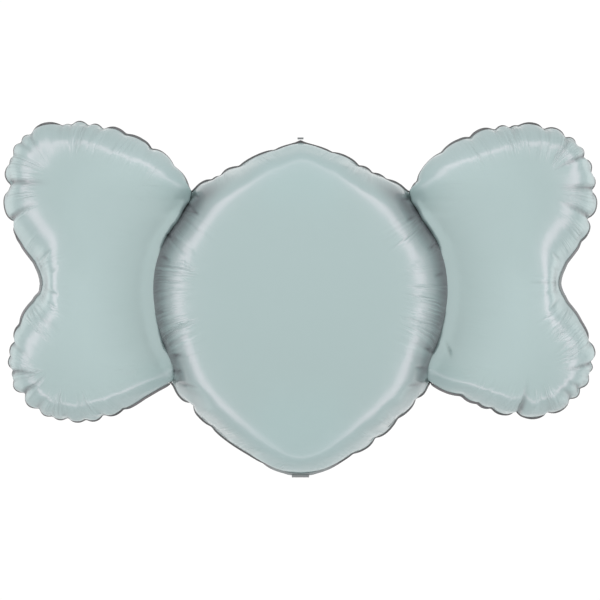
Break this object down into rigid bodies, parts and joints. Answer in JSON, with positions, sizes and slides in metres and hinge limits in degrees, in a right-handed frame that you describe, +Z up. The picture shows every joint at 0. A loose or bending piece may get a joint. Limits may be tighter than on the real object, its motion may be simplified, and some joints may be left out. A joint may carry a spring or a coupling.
{
  "type": "elephant head foil balloon",
  "caption": "Plain puffed foil balloon shaped as an elephant's head seen from in front: a pointed oval middle between two large two-lobed ears, with a hanging tab and a folding filling neck.",
  "frame": {"origin": "middle of the sealed outline, in the plane of the seal between the front and the back film", "axes": "+X along the width, towards the ear on the right as seen from in front; +Z up; -Y towards the viewer of the front"},
  "size_m": [0.8924, 0.2738, 0.5345],
  "materials": {
    "foil_film": "satin metallised film",
    "sealed_edge": "satin metallised film, flat",
    "tab_film": "satin film",
    "valve_film": "clear film"
  },
  "bodies": {
    "root": {"head_front_film": "foil_film", "head_back_film": "foil_film", "left_ear_front_film": "foil_film", "left_ear_back_film": "foil_film", "right_ear_front_film": "foil_film", "right_ear_back_film": "foil_film", "left_ear_seam": "sealed_edge", "right_ear_seam": "sealed_edge", "head_top_seam": "sealed_edge", "head_bottom_seam": "sealed_edge", "left_weld": "sealed_edge", "right_weld": "sealed_edge", "hang_tab": "tab_film"},
    "neck": {"neck_front_film": "foil_film", "neck_back_film": "foil_film", "valve_sleeve": "valve_film"}
  },
  "joints": [
    {"name": "neck_fold", "type": "hinge", "parent": "root", "child": "neck", "pos_m": [0, 0, -0.267], "axis": [-1, 0, 0], "range_deg": [0, 196]}
  ]
}
